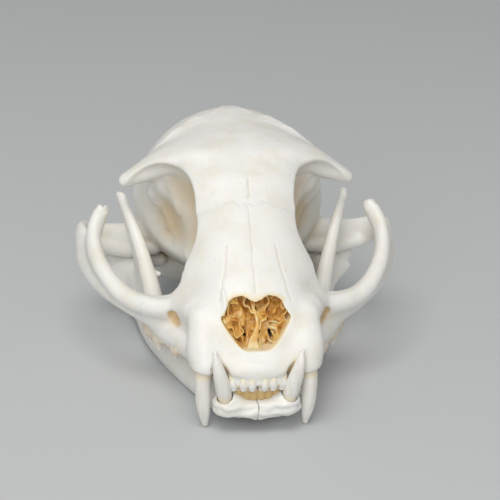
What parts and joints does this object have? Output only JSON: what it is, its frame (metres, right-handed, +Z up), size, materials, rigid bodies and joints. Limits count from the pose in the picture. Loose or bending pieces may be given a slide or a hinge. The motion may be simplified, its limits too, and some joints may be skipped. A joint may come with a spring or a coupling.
{
  "type": "cat skull",
  "caption": "Cleaned skull of an adult cat with its lower jaw closed, standing on the jaw, for display and for study.",
  "frame": {"origin": "centre of the bounding box's footprint, on the surface that the jaw stands on", "axes": "+Z up, -Y towards the front of the muzzle, +X to the skull's left"},
  "size_m": [0.0694, 0.0894, 0.0477],
  "materials": {
    "bone": "matte",
    "enamel": "satin",
    "scroll_bone": "satin"
  },
  "bodies": {
    "root": {"auditory_bulla_left": "bone", "auditory_bulla_right": "bone", "braincase": "bone", "brow": "bone", "lower_canine_left": "enamel", "lower_canine_right": "enamel", "mandible_left": "bone", "mandible_right": "bone", "nasal_turbinates": "scroll_bone", "snout": "bone", "upper_canine_left": "enamel", "upper_canine_right": "enamel", "zygomatic_arch_left": "bone", "zygomatic_arch_right": "bone"}
  },
  "joints": []
}
